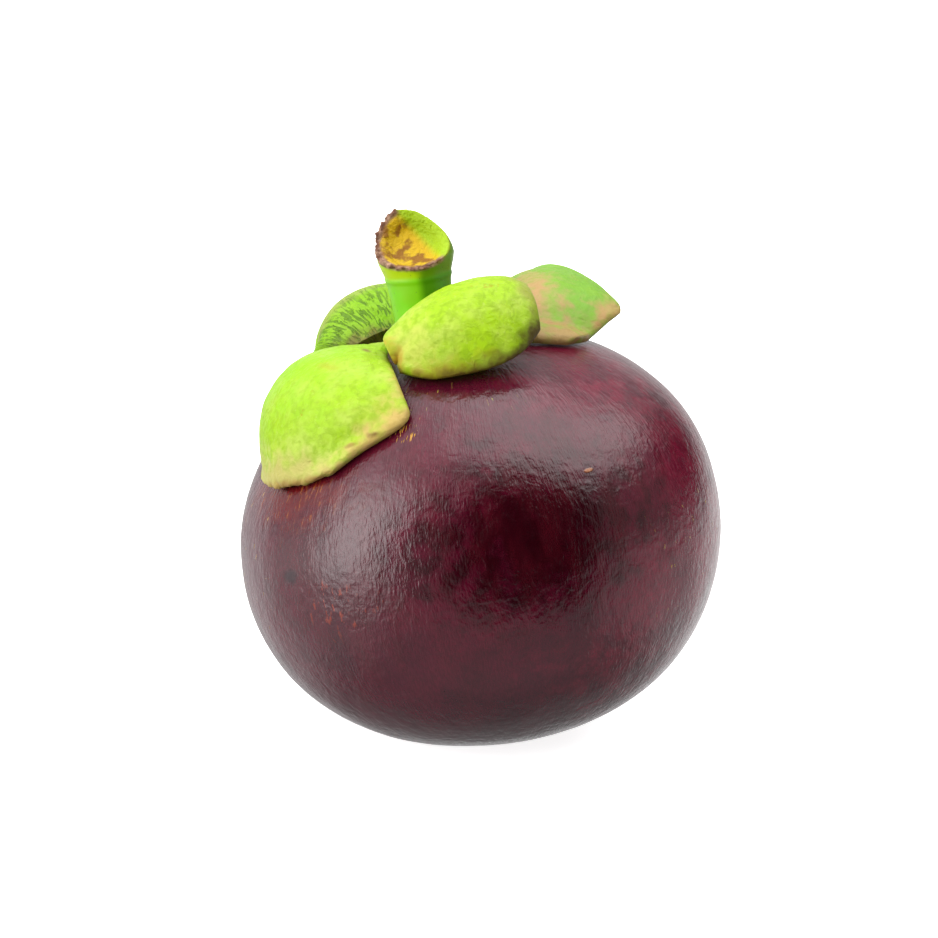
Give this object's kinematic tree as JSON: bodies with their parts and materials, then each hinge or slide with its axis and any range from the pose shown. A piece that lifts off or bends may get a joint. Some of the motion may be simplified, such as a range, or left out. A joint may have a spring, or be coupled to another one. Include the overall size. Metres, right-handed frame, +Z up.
{
  "type": "mangosteen fruit",
  "caption": "Whole round fruit with a glossy dark purple rind, thick green sepals arched over its crown and a short broken stem, standing on a small flat spot.",
  "frame": {"origin": "centre of the small flat spot at the blossom end that the fruit rests on", "axes": "+Z up, out of the surface it rests on; the fruit's axis leans 7.2 degrees from +Z to -X; the front sepal faces -Y"},
  "size_m": [0.062, 0.0624, 0.0681],
  "materials": {
    "rind": "gloss",
    "sepal": "satin",
    "stem": "satin",
    "stigma": "matte"
  },
  "bodies": {
    "root": {"fruit": "rind", "stem": "stem", "sepal_front": "sepal", "sepal_left": "sepal", "sepal_back": "sepal", "sepal_right": "sepal", "stigma_rosette": "stigma"}
  },
  "joints": []
}
